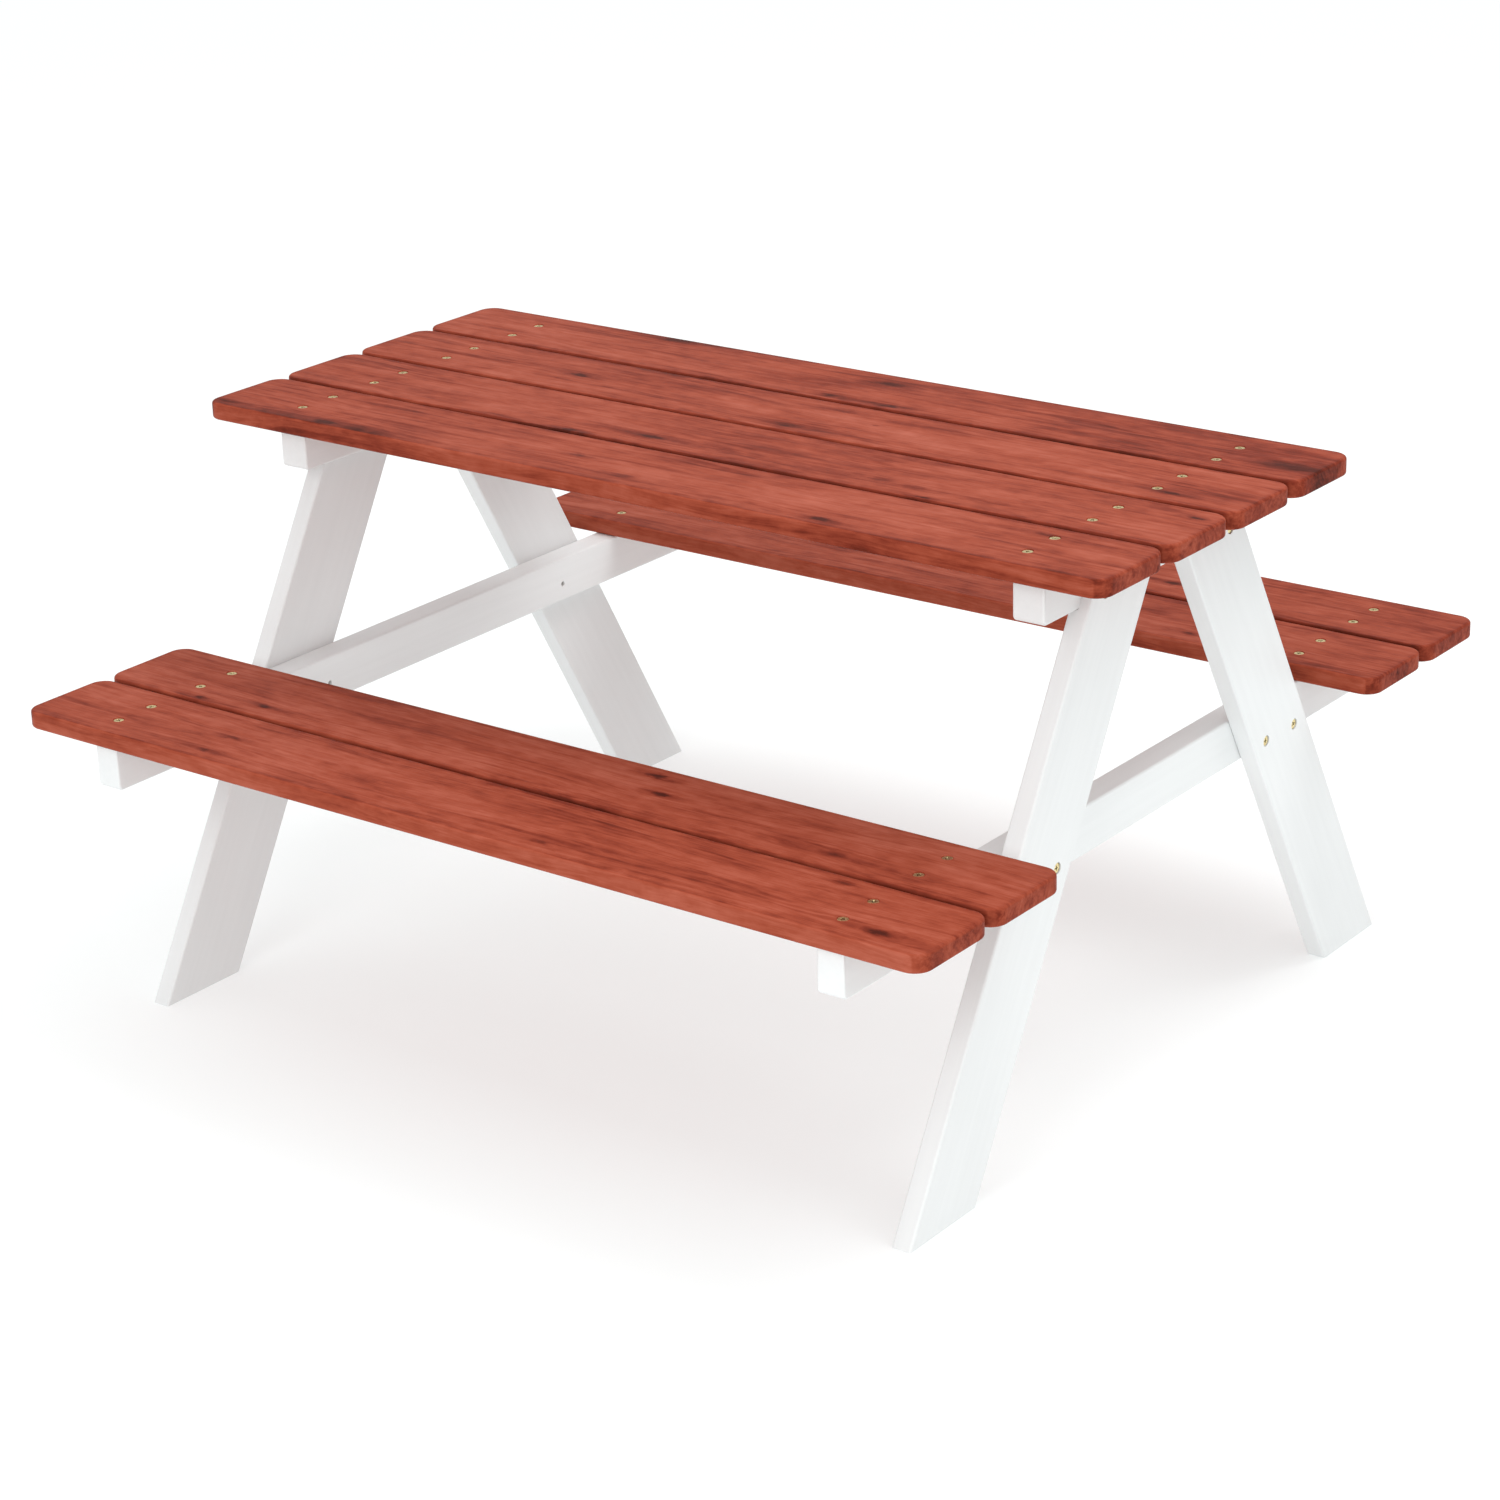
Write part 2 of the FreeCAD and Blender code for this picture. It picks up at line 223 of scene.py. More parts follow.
@dataclass(frozen=True)
class StainedPine:
    """Pine, planed and rounded over, under a translucent red stain and a thin satin clear coat.

    The stain sinks deeper into soft early wood, end grain and round knots, so the eye sees lengthwise
    streaks and darker drifts. The coat is rubbed down until little more than the fibres' sheen is left.
    """

    name: str
    centre: Point                       # metres
    length: float                       # metres
    width: float                        # metres
    seed: int
    pith: tuple[float, float]           # mm across and above the centre, so that the rings cross the end
    tone: float                         # added depth of stain; on the front bench it is partly painted light
    knots: tuple[Knot, ...]
    gaps: tuple[bool, bool]             # whether its -Y and its +Y edge face another plank
    fibre_depth: float = 0.2 * MM

    def knotted(self, tree: bpy.types.NodeTree, rough_edge: bpy.types.NodeSocket,
                flow: bpy.types.NodeSocket) -> tuple[bpy.types.NodeSocket | float, bpy.types.NodeSocket]:
        """Set the knots in the grain.

        Args:
            tree: the material's node tree.
            rough_edge: the place on the plank with a ragged shift, in mm.
            flow: the place in the grain, in mm.

        Returns:
            How dark the knots are, and the place in the grain that flows round them.
        """
        cores: bpy.types.NodeSocket | float = 0.0
        for knot in self.knots:
            away = add_node(tree, "ShaderNodeVectorMath", {
                0: rough_edge, 1: (knot.x + EDGE_SWAY[0] / 2, knot.y + EDGE_SWAY[1] / 2, 0.0)},
                operation="SUBTRACT").outputs[0]
            for reach, wide, weight in ((KNOT_CORE_REACH, knot.size, knot.depth),
                                        (knot.tail, KNOT_TAIL_WIDTH * knot.size,
                                         KNOT_TAIL_WEIGHT * knot.depth)):
                scaled = add_node(tree, "ShaderNodeVectorMath", {
                    0: away, 1: (1 / (wide * reach), 1 / wide, 0.0)}, operation="MULTIPLY").outputs[0]
                distance = add_node(tree, "ShaderNodeVectorMath", {0: scaled}, operation="LENGTH")
                near = add_node(tree, "ShaderNodeMapRange", {
                    "Value": distance.outputs["Value"], "From Min": KNOT_EDGE[0],
                    "From Max": KNOT_EDGE[1]}, interpolation_type="SMOOTHSTEP").outputs[0]
                cores = add_node(tree, "ShaderNodeMath", {0: near, 1: weight, 2: cores},
                                 operation="MULTIPLY_ADD").outputs[0]
            pull = add_node(tree, "ShaderNodeVectorMath", {0: away, "Scale": near},
                            operation="SCALE").outputs[0]
            flow = add_node(tree, "ShaderNodeVectorMath", {
                0: pull, 1: (0.0, KNOT_PULL, 0.0), 2: flow}, operation="MULTIPLY_ADD").outputs[0]
        return cores, flow

    def rings(self, tree: bpy.types.NodeTree, local: bpy.types.NodeSocket,
              drift: dict[str, bpy.types.NodeSocket]) -> bpy.types.NodeSocket:
        """Draw the yearly rings round the pith, which the plank's ends cut across.

        Args:
            tree: the material's node tree.
            local: the place on the plank, in mm.
            drift: how far the grain wanders there.

        Returns:
            The rings' darkness, from 0 to 1.
        """
        swayed = local
        for name, sway in RING_SWAY.items():
            swayed = add_node(tree, "ShaderNodeVectorMath", {
                0: drift[name], 1: (0.0, sway, sway), 2: swayed}, operation="MULTIPLY_ADD").outputs[0]
        from_pith = add_node(tree, "ShaderNodeVectorMath", {
            0: swayed, 1: (0.0, self.pith[0] + RING_SHIFT, self.pith[1] + RING_SHIFT)},
            operation="SUBTRACT").outputs[0]
        across = add_node(tree, "ShaderNodeVectorMath", {
            0: from_pith, 1: (0.0, 1.0, 1.0)}, operation="MULTIPLY").outputs[0]
        radius = add_node(tree, "ShaderNodeVectorMath", {0: across}, operation="LENGTH").outputs["Value"]
        turns = add_node(tree, "ShaderNodeMath", {0: radius, 1: FULL_TURN / RING_SPACING},
                         operation="MULTIPLY").outputs[0]
        wave = add_node(tree, "ShaderNodeMath", {0: turns}, operation="SINE").outputs[0]
        return add_node(tree, "ShaderNodeMapRange", {
            "Value": wave, "From Min": -0.4, "From Max": 1.0}, interpolation_type="SMOOTHSTEP").outputs[0]

    def rims(self, tree: bpy.types.NodeTree, local: bpy.types.NodeSocket) -> list[bpy.types.NodeSocket]:
        """Find the strips along the plank's rims.

        Args:
            tree: the material's node tree.
            local: the place on the plank, in mm.

        Returns:
            Nearness to the ends, to just inside the long edges, and to the -Y and the +Y edge.
        """
        axes = add_node(tree, "ShaderNodeSeparateXYZ", {0: local})
        spans = {axis: add_node(tree, "ShaderNodeMath", {0: axes.outputs[axis]},
                                operation="ABSOLUTE").outputs[0] for axis in "XY"}
        low_side = add_node(tree, "ShaderNodeMath", {0: axes.outputs["Y"], 1: -1.0}, operation="MULTIPLY")
        # Each strip grows from nothing, the first distance in from the rim, to full at the second, in mm.
        return [add_node(tree, "ShaderNodeMapRange", {
            "Value": span, "From Min": size / 2 / MM - inner, "From Max": size / 2 / MM - outer},
            interpolation_type="SMOOTHSTEP").outputs[0] for span, size, inner, outer in (
                (spans["X"], self.length, 6.0, 1.0), (spans["Y"], self.width, 8.0, 2.6),
                (low_side.outputs[0], self.width, 2.0, 0.9), (axes.outputs["Y"], self.width, 2.0, 0.9))]

    def make(self) -> bpy.types.Material:
        """Build the material.

        Returns:
            The material.
        """
        material, tree = new_material(self.name)
        place = add_node(tree, "ShaderNodeTexCoord").outputs["Object"]
        local = add_node(tree, "ShaderNodeMapping", {
            "Vector": place, "Scale": (1 / MM,) * 3,
            "Location": tuple(-c / MM for c in self.centre)}).outputs[0]
        drawn = add_node(tree, "ShaderNodeVectorMath", {
            0: local, 1: (self.seed * 977.0, self.seed * 131.0, self.seed * 59.0)}).outputs[0]

        # The grain wanders across the plank and flows round its knots.
        drift = {name: node.outputs["Color"] for name, node in lay(tree, drawn, GRAIN_DRIFT).items()}
        flow = add_node(tree, "ShaderNodeVectorMath", {
            0: drift["wander"], 1: GRAIN_SWAY, 2: drawn}, operation="MULTIPLY_ADD").outputs[0]
        rough_edge = add_node(tree, "ShaderNodeVectorMath", {
            0: drift["ragged"], 1: EDGE_SWAY, 2: local}, operation="MULTIPLY_ADD").outputs[0]
        cores, flow = self.knotted(tree, rough_edge, flow)
        layers = {name: node.outputs["Fac"] for name, node in lay(tree, flow, STAIN_LAYERS).items()}
        band = add_node(tree, "ShaderNodeMapRange", {
            "Value": layers["band"], "From Min": 0.5, "From Max": 0.75},
            interpolation_type="SMOOTHSTEP").outputs[0]
        ring = self.rings(tree, local, drift)

        # The stain gathers at the ends and just inside the long edges. Painted shade darkens the edges
        # that face a narrow gap between planks, and a painted highlight lightens the open edges.
        end, brink, *edges = self.rims(tree, local)
        for edge in edges:
            brink = add_node(tree, "ShaderNodeMath", {0: brink, 1: edge}, operation="SUBTRACT").outputs[0]
        gathered = add_node(tree, "ShaderNodeMath", {0: brink, 1: layers["mottle"]},
                            operation="MULTIPLY").outputs[0]
        end_ring = add_node(tree, "ShaderNodeMath", {0: end, 1: ring}, operation="MULTIPLY").outputs[0]
        parts = [(layers[name], layer.weight) for name, layer in STAIN_LAYERS.items() if layer.weight]
        parts += [(band, BAND_WEIGHT), (ring, RING_WEIGHT), (gathered, GATHERED_WEIGHT)]
        # Painted shade on the edges that face a gap, and a painted highlight on the open edges.
        parts += [(edge, GAP_EDGE_SHADE_WEIGHT if gap else OPEN_EDGE_HIGHLIGHT_WEIGHT)
                  for edge, gap in zip(edges, self.gaps)]
        parts += [(end, END_WEIGHT), (end_ring, END_RING_WEIGHT), (cores, KNOT_WEIGHT)]

        # Depth of stain, from 0, thin and bright, to 1, dark.
        depth: bpy.types.NodeSocket | float = self.tone + LEAST_DEPTH
        for part, weight in parts:
            depth = add_node(tree, "ShaderNodeMath", {0: part, 1: weight, 2: depth},
                             operation="MULTIPLY_ADD").outputs[0]
        colour = add_node(tree, "ShaderNodeValToRGB", {0: depth}, ramp=(
            (0.0, "#AF5D49"), (0.36, "#994631"), (0.64, "#7B3020"), (1.0, "#4A1A10"))).outputs["Color"]

        rough = add_node(tree, "ShaderNodeMath", {0: layers["streak"], 1: 0.3, 2: 0.32},
                         operation="MULTIPLY_ADD").outputs[0]
        height = add_node(tree, "ShaderNodeMath", {0: layers["fibre"], 1: 0.6, 2: layers["streak"]},
                          operation="MULTIPLY_ADD").outputs[0]
        bump = add_node(tree, "ShaderNodeBump", {
            "Height": height, "Strength": 0.6, "Distance": self.fibre_depth}).outputs[0]
        shader = add_node(tree, "ShaderNodeBsdfPrincipled", {
            "Base Color": colour, "Roughness": rough, "IOR": 1.5, "Specular IOR Level": 0.05,
            "Normal": bump})
        add_node(tree, "ShaderNodeOutputMaterial", {"Surface": shader.outputs[0]})
        return material


PAINT_LAYERS = {
    "coat": Layer((90.0, 90.0, 240.0), 2.0),
    "grain": Layer((6.0, 6.0, 150.0), 2.0),
    "brush": Layer((1.1, 1.1, 60.0), 2.0)}


@dataclass(frozen=True)
class PaintedPine:
    """Pine under two brushed coats of white satin paint.

    The brush leaves faint lengthwise ridges, and the grain below shows through as a slight wave.
    """

    name: str
    lean: float                         # turn of the grain from upright, about X
    ridge_depth: float = 0.12 * MM

    def make(self) -> bpy.types.Material:
        """Build the material.

        Returns:
            The material.
        """
        material, tree = new_material(self.name)
        place = add_node(tree, "ShaderNodeTexCoord").outputs["Object"]
        along = add_node(tree, "ShaderNodeMapping", {
            "Vector": place, "Scale": (1 / MM,) * 3, "Rotation": (self.lean, 0.0, 0.0)}).outputs[0]
        coat, grain, brush = (node.outputs["Fac"] for node in lay(tree, along, PAINT_LAYERS).values())
        thin = add_node(tree, "ShaderNodeMath", {0: grain, 1: 0.5, 2: coat},
                        operation="MULTIPLY_ADD").outputs[0]
        thin = add_node(tree, "ShaderNodeMapRange", {
            "Value": thin, "From Min": 0.45, "From Max": 1.05}).outputs[0]
        colour = add_node(tree, "ShaderNodeValToRGB", {0: thin}, ramp=(
            (0.0, "#EAECEC"), (1.0, "#E2E4E4"))).outputs["Color"]
        rough = add_node(tree, "ShaderNodeMath", {0: coat, 1: 0.16, 2: 0.34},
                         operation="MULTIPLY_ADD").outputs[0]
        height = add_node(tree, "ShaderNodeMath", {0: brush, 1: 0.35, 2: grain},
                          operation="MULTIPLY_ADD").outputs[0]
        bump = add_node(tree, "ShaderNodeBump", {
            "Height": height, "Strength": 0.5, "Distance": self.ridge_depth}).outputs[0]
        shader = add_node(tree, "ShaderNodeBsdfPrincipled", {
            "Base Color": colour, "Roughness": rough, "IOR": 1.5, "Specular IOR Level": 0.4,
            "Normal": bump})
        add_node(tree, "ShaderNodeOutputMaterial", {"Surface": shader.outputs[0]})
        return material


@dataclass(frozen=True)
class PlatedSteel:
    """Steel screws, zinc plated and yellow passivated: pale brass with a cloudy, uneven tint."""

    name: str = "yellow_zinc_plated_steel"
    cloud_size: float = 2.4 * MM
    grit_size: float = 0.35 * MM
    grit_depth: float = 0.03 * MM
    painted_shade_reach: float = 1.6 * MM     # painted shade darkens where another surface is this near

    def make(self) -> bpy.types.Material:
        """Build the material.

        Returns:
            The material.
        """
        material, tree = new_material(self.name)
        place = add_node(tree, "ShaderNodeTexCoord").outputs["Object"]
        cloud = add_node(tree, "ShaderNodeTexNoise", {
            "Vector": place, "Scale": 1 / self.cloud_size, "Detail": 2.0}).outputs["Fac"]
        grit = add_node(tree, "ShaderNodeTexNoise", {
            "Vector": place, "Scale": 1 / self.grit_size, "Detail": 1.0}).outputs["Fac"]
        colour = add_node(tree, "ShaderNodeValToRGB", {0: cloud}, ramp=(
            (0.3, "#CFBA80"), (0.5, "#EDDCA8"), (0.7, "#B89C60"))).outputs["Color"]
        # Painted shade darkens the cross recess and the ring round the head, where other surfaces are
        # near.
        shelter = add_node(tree, "ShaderNodeAmbientOcclusion", {"Distance": self.painted_shade_reach},
                           samples=8)
        painted_shade = add_node(tree, "ShaderNodeMapRange", {
            "Value": shelter.outputs["AO"], "From Min": 0.75, "From Max": 0.25},
            interpolation_type="SMOOTHSTEP").outputs[0]
        # The dark brown mixed in here is painted shade, not a colour of the plating.
        colour = add_node(tree, "ShaderNodeMixRGB", {
            0: painted_shade, 1: colour, 2: linear("#3E2F1C")}).outputs[0]
        rough = add_node(tree, "ShaderNodeMath", {0: cloud, 1: 0.2, 2: 0.2},
                         operation="MULTIPLY_ADD").outputs[0]
        bump = add_node(tree, "ShaderNodeBump", {
            "Height": grit, "Strength": 0.3, "Distance": self.grit_depth}).outputs[0]
        shader = add_node(tree, "ShaderNodeBsdfPrincipled", {
            "Base Color": colour, "Metallic": 1.0, "Roughness": rough, "Normal": bump})
        add_node(tree, "ShaderNodeOutputMaterial", {"Surface": shader.outputs[0]})
        return material


@dataclass(frozen=True)
class LitAcrylic:
    """Matt opal acrylic sheet, cast and sanded, and lit from below so that shadows stay faint."""

    name: str = "opal_acrylic_sheet"
    glow: float = 0.47

    def make(self) -> bpy.types.Material:
        """Build the material.

        Returns:
            The material.
        """
        material, tree = new_material(self.name)
        shader = add_node(tree, "ShaderNodeBsdfPrincipled", {
            "Base Color": linear("#C2C6C6"), "Roughness": 0.95, "Specular IOR Level": 0.0,
            "Emission Color": linear("#FFFFFF"), "Emission Strength": self.glow})
        add_node(tree, "ShaderNodeOutputMaterial", {"Surface": shader.outputs[0]})
        return material


# ---- shaping ----

def block(low: Iterable[float], high: Iterable[float]) -> bmesh.types.BMesh:
    """Make a box from its two corners.

    Args:
        low: its lowest corner.
        high: its highest corner.

    Returns:
        A new bmesh.
    """
    low, high = Vector(low), Vector(high)
    shape = bmesh.new()
    bmesh.ops.create_cube(shape, size=1.0)
    bmesh.ops.scale(shape, vec=high - low, verts=shape.verts)
    bmesh.ops.translate(shape, vec=(low + high) / 2, verts=shape.verts)
    return shape


def round_edges(shape: bmesh.types.BMesh, edges: Iterable[bmesh.types.BMEdge], radius: float,
                segments: int) -> None:
    """Round some edges.

    Args:
        shape: the bmesh that they belong to.
        edges: the edges.
        radius: radius of the rounding.
        segments: how many facets make the curve.
    """
    bmesh.ops.bevel(shape, geom=list(edges), offset=radius, offset_type="OFFSET", segments=segments,
                    profile=0.5, affect="EDGES", material=-1)


def edges_where(shape: bmesh.types.BMesh, axis: int, place: float | None = None,
                along: bool = False) -> list[bmesh.types.BMEdge]:
    """Pick edges by where they lie.

    Args:
        shape: the bmesh.
        axis: 0, 1 or 2 for X, Y or Z.
        place: the coordinate on that axis that both ends have, or None for any.
        along: pick the edges that run along the axis instead.

    Returns:
        The edges found.
    """
    found = []
    for edge in shape.edges:
        start, end = (vert.co for vert in edge.verts)
        run = (end - start).normalized()
        if along and abs(abs(run[axis]) - 1) < 10 * TOLERANCE:
            found.append(edge)
        elif not along and max(abs(start[axis] - place), abs(end[axis] - place)) < TOLERANCE:
            found.append(edge)
    return found


def turned(profile: Sequence[tuple[float, float]], steps: int) -> bmesh.types.BMesh:
    """Turn a profile about Z into a closed solid.

    Args:
        profile: radius and height of its points, starting and ending on the axis.
        steps: facets round the axis.

    Returns:
        A new bmesh with its normals outward.
    """
    shape = bmesh.new()
    verts = [shape.verts.new((radius, 0.0, height)) for radius, height in profile]
    edges = [shape.edges.new(pair) for pair in zip(verts, verts[1:])]
    bmesh.ops.spin(shape, geom=verts + edges, cent=(0, 0, 0), axis=(0, 0, 1), angle=FULL_TURN,
                   steps=steps, use_merge=True)
    bmesh.ops.remove_doubles(shape, verts=shape.verts, dist=TOLERANCE / 10)
    bmesh.ops.recalc_face_normals(shape, faces=shape.faces)
    return shape


def place_copies(shape: bmesh.types.BMesh, places: Iterable[Matrix], name: str) -> bpy.types.Mesh:
    """Put copies of a shape at several places in one mesh.

    Args:
        shape: the shape, which is freed.
        places: where each copy goes.
        name: name of the mesh.

    Returns:
        The mesh.
    """
    pattern = bpy.data.meshes.new(name + "_pattern")
    shape.to_mesh(pattern)
    shape.free()
    gathered = bmesh.new()
    for place in places:
        before = set(gathered.verts)
        gathered.from_mesh(pattern)
        bmesh.ops.transform(gathered, matrix=place,
                            verts=[vert for vert in gathered.verts if vert not in before])
    mesh = bpy.data.meshes.new(name)
    gathered.to_mesh(mesh)
    gathered.free()
    bpy.data.meshes.remove(pattern)
    return mesh


def cut(shape: bmesh.types.BMesh, tools: Sequence[bpy.types.Mesh], name: str) -> bpy.types.Mesh:
    """Cut closed tools out of a closed shape.

    Args:
        shape: what is cut, which is freed.
        tools: what is taken away, which are removed after use.
        name: name of the new mesh.

    Returns:
        The mesh that is left.
    """
    solid = bpy.data.objects.new(name, bpy.data.meshes.new(name))
    shape.to_mesh(solid.data)
    shape.free()
    cutters = [bpy.data.objects.new(name + "_cutter", tool) for tool in tools]
    for thing in [solid, *cutters]:
        bpy.context.scene.collection.objects.link(thing)
    for cutter in cutters:
        modifier = solid.modifiers.new("Cut", "BOOLEAN")
        modifier.operation, modifier.solver, modifier.object = "DIFFERENCE", "EXACT", cutter
    mesh = bpy.data.meshes.new_from_object(solid.evaluated_get(bpy.context.evaluated_depsgraph_get()))
    old = [solid.data, *tools]
    for thing in [solid, *cutters]:
        bpy.data.objects.remove(thing)
    for data in old:
        bpy.data.meshes.remove(data)
    mesh.name = name
    return mesh


def add_piece(name: str, mesh: bpy.types.Mesh, material: bpy.types.Material,
              node: str) -> bpy.types.Object:
    """Make a piece of the table from its mesh.

    Args:
        name: name of the piece.
        mesh: its mesh, in place.
        material: its finish.
        node: the CAD node that it stands for.

    Returns:
        The piece.
    """
    piece = bpy.data.objects.new(name, mesh)
    bpy.context.scene.collection.objects.link(piece)
    mesh.materials.clear()
    mesh.materials.append(material)
    mesh.polygons.foreach_set("material_index", [0] * len(mesh.polygons))
    mesh.polygons.foreach_set("use_smooth", [True] * len(mesh.polygons))
    mesh.set_sharp_from_angle(angle=SHARP_ANGLE)
    shading = piece.modifiers.new("Even shading", "WEIGHTED_NORMAL")
    shading.keep_sharp, shading.weight = True, 100
    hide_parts(node)
    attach(piece, BODY)
    LOG.info("%s: %d faces, stands for %s", name, len(mesh.polygons), node)
    return piece


# ---- screws ----

@dataclass
class Screws:
    """The screws and the holes that they sit in."""

    shank_radius: float = 2.25 * MM
    head_radius: float = 4.5 * MM
    rim_radius: float = 0.8 * MM
    tip_length: float = 4 * MM
    recess_half_span: float = 2.8 * MM
    recess_half_wing: float = 0.55 * MM
    recess_depth: float = 1.7 * MM
    recess_narrowing: tuple[float, float] = (3.0, 0.7)      # span divided and wing scaled at the bottom
    recess_turn: float = math.radians(37)       # each screw stops this much further round
    hole_radius: float = 2.35 * MM
    seat_radius: float = 4.65 * MM
    seat_ease: float = 0.25 * MM                # the crisp rim of a hole in wood, just broken
    head_sink: float = 0.5 * MM                 # countersunk heads below the plank's surface
    leg_head_sink: float = 1 * MM
    leg_head_thickness: float = 2.2 * MM
    steps: int = 32
    crown_steps: int = 4
    plating: PlatedSteel = field(default_factory=PlatedSteel)

    def drill(self, depth: float, mouth: Sequence[tuple[float, float]] = ()) -> bmesh.types.BMesh:
        """Make the tool for a hole, pointing down from a surface at Z = 0.

        Args:
            depth: how deep it goes.
            mouth: radius and height of the points of a wider mouth, from the bottom up.

        Returns:
            A new bmesh.
        """
        top = mouth[-1][0] if mouth else self.hole_radius
        return turned([(0.0, -depth), (self.hole_radius, -depth), *mouth, (top, OVERRUN), (0.0, OVERRUN)],
                      self.steps)

    def countersink(self) -> list[tuple[float, float]]:
        """Shape the mouth of a hole for a countersunk head.

        Returns:
            Radius and height of its points, from the bottom up.
        """
        drop = self.seat_radius - self.hole_radius
        return [(self.hole_radius, -self.head_sink - drop), (self.seat_radius, -self.head_sink),
                (self.seat_radius, -self.seat_ease), (self.seat_radius + self.seat_ease, 0.0)]

    def counterbore(self) -> list[tuple[float, float]]:
        """Shape the mouth of a hole for a sunk cylinder head.

        Returns:
            Radius and height of its points, from the bottom up.
        """
        floor = -self.leg_head_sink - self.leg_head_thickness
        return [(self.hole_radius, floor), (self.seat_radius, floor),
                (self.seat_radius, -self.seat_ease), (self.seat_radius + self.seat_ease, 0.0)]

    def screw(self, length: float, countersunk: bool) -> bmesh.types.BMesh:
        """Make one screw pointing down, with its head's top at Z = 0.

        Args:
            length: its whole length.
            countersunk: True for a cone head, False for a flat cylinder head.

        Returns:
            A new bmesh, still without its cross recess.
        """
        shank, head, rim = self.shank_radius, self.head_radius, self.rim_radius
        neck = [(shank, shank - head)] if countersunk else [
            (shank, -self.leg_head_thickness), (head, -self.leg_head_thickness)]
        crown = [(head - rim * (1 - math.sin(turn)), rim * (math.cos(turn) - 1))
                 for turn in (math.pi / 2 * step / self.crown_steps
                              for step in range(self.crown_steps, -1, -1))]
        return turned([(0.0, -length), (shank, self.tip_length - length), *neck, *crown, (0.0, 0.0)],
                      self.steps)

    def wing(self, quarter: int) -> bmesh.types.BMesh:
        """Make the tool for one wing of the cross recess, which narrows towards its bottom.

        Args:
            quarter: how many quarters round the wing is turned.

        Returns:
            A new bmesh.
        """
        wing = bmesh.new()
        bmesh.ops.create_cube(wing, size=2.0)
        for vert in wing.verts:
            low = vert.co.z < 0
            span, width = self.recess_narrowing if low else (1.0, 1.0)
            vert.co.x *= self.recess_half_span / span
            vert.co.y *= self.recess_half_wing * width
            vert.co.z = -self.recess_depth if low else OVERRUN
        bmesh.ops.rotate(wing, verts=wing.verts, cent=(0, 0, 0),
                         matrix=Matrix.Rotation(quarter * math.pi / 2, 3, "Z"))
        return wing

    def build(self, node: str, length: float, countersunk: bool, places: Sequence[Matrix],
              finish: bpy.types.Material) -> bpy.types.Object:
        """Build one group of screws.

        Args:
            node: the CAD node that the group stands for.
            length: length of each screw.
            countersunk: the shape of the heads.
            places: where each screw goes, pointing down Z at its place.
            finish: the plating.

        Returns:
            The piece.
        """
        turns = [place @ Matrix.Rotation(index * self.recess_turn, 4, "Z")
                 for index, place in enumerate(places)]
        blanks = place_copies(self.screw(length, countersunk), turns, node + "_blanks")
        shape = bmesh.new()
        shape.from_mesh(blanks)
        bpy.data.meshes.remove(blanks)
        wings = [place_copies(self.wing(quarter), turns, node + "_wings") for quarter in (0, 1)]
        mesh = cut(shape, wings, "plated_" + node)
        return add_piece("plated_" + node, mesh, finish, node)


# ---- planks ----

@dataclass
class PlankSet:
    """The planks that lie side by side on one level, with their screws."""

    grain: dict[str, StainedPine]
    screws: Screws
    corner_radius: float = 15 * MM
    edge_radius: float = 2.5 * MM
    corner_segments: int = 12
    edge_segments: int = 5
    screw_x: float = 361 * MM
    screw_spacing: float = 37 * MM
    outer_screw_shift: float = 0.0              # towards the table's middle, in the outer planks

    def rows(self, node: str) -> list[float]:
        """Place the two screws across a plank.

        Args:
            node: the plank's CAD node.

        Returns:
            Their places along Y.
        """
        low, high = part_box(node)
        middle = (low.y + high.y) / 2
        if node.endswith("outer"):
            middle -= math.copysign(self.outer_screw_shift, middle)
        return [middle - self.screw_spacing / 2, middle + self.screw_spacing / 2]

    def plank(self, node: str) -> bpy.types.Object:
        """Build one plank: rounded corners, rounded edges and countersunk holes.

        Args:
            node: the CAD node that it stands for.

        Returns:
            The piece.
        """
        low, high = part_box(node)
        board = block(low, high)
        round_edges(board, edges_where(board, 2, along=True), self.corner_radius, self.corner_segments)
        rims = edges_where(board, 2, high.z) + edges_where(board, 2, low.z)
        round_edges(board, rims, self.edge_radius, self.edge_segments)
        drill = self.screws.drill(high.z - low.z + OVERRUN, self.screws.countersink())
        places = [Matrix.Translation((side.value * self.screw_x, y, high.z))
                  for side in Side for y in self.rows(node)]
        mesh = cut(board, [place_copies(drill, places, node + "_holes")], "stained_" + node)
        return add_piece("stained_" + node, mesh, self.grain[node].make(), node)

    def screw_row(self, node: str, planks: Sequence[str], side: Side,
                  plating: bpy.types.Material) -> bpy.types.Object:
        """Build the row of screws at one end of some planks.

        Args:
            node: the CAD node that it stands for.
            planks: the planks that it holds, in order.
            side: the end of the table.
            plating: the screws' finish.

        Returns:
            The piece.
        """
        low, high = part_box(node)
        places = [Matrix.Translation((side.value * self.screw_x, y, high.z))
                  for plank in planks for y in self.rows(plank)]
        return self.screws.build(node, high.z - low.z, True, places, plating)


# ---- frames ----

